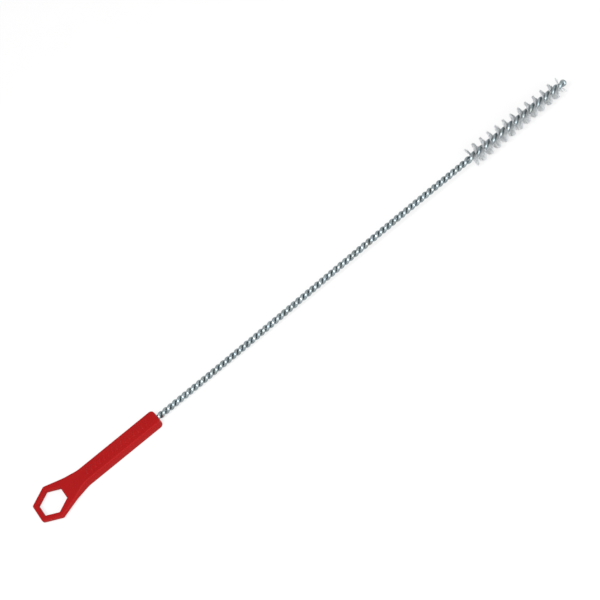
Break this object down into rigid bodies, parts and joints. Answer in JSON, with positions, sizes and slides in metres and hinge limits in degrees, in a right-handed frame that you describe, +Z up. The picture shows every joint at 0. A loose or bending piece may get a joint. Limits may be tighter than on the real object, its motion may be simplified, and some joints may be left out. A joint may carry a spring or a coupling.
{
  "type": "drain auger",
  "caption": "Twisted-wire drain brush: flat handle with a hexagonal ring, long twisted-wire stem and a tapered spiral bristle brush at the tip.",
  "frame": {"origin": "bottom centre of the tool's box: midway along its length, on the surface it lies on", "axes": "+X along the tool from the ring to the brush tip; +Y across the flat handle; +Z up, square to the handle's broad face"},
  "size_m": [0.4572, 0.0298, 0.0145],
  "materials": {
    "handle": "semi-gloss moulded red plastic",
    "wire": "zinc-plated steel wire, blue-grey",
    "bristle": "translucent grey nylon filament"
  },
  "bodies": {
    "root": {"handle": "handle", "stem_wire": "wire", "bristle_tuft_01": "bristle", "bristle_tuft_02": "bristle", "bristle_tuft_03": "bristle", "bristle_tuft_04": "bristle", "bristle_tuft_05": "bristle", "bristle_tuft_06": "bristle", "bristle_tuft_07": "bristle", "bristle_tuft_08": "bristle", "bristle_tuft_09": "bristle", "bristle_tuft_10": "bristle", "bristle_tuft_11": "bristle", "bristle_tuft_12": "bristle", "bristle_tuft_13": "bristle", "bristle_tuft_14": "bristle", "bristle_tuft_15": "bristle", "bristle_tuft_16": "bristle", "bristle_tuft_17": "bristle", "bristle_tuft_18": "bristle", "bristle_tuft_19": "bristle", "bristle_tuft_20": "bristle", "bristle_tuft_21": "bristle", "bristle_tuft_22": "bristle", "bristle_tuft_23": "bristle", "bristle_tuft_24": "bristle"}
  },
  "joints": []
}
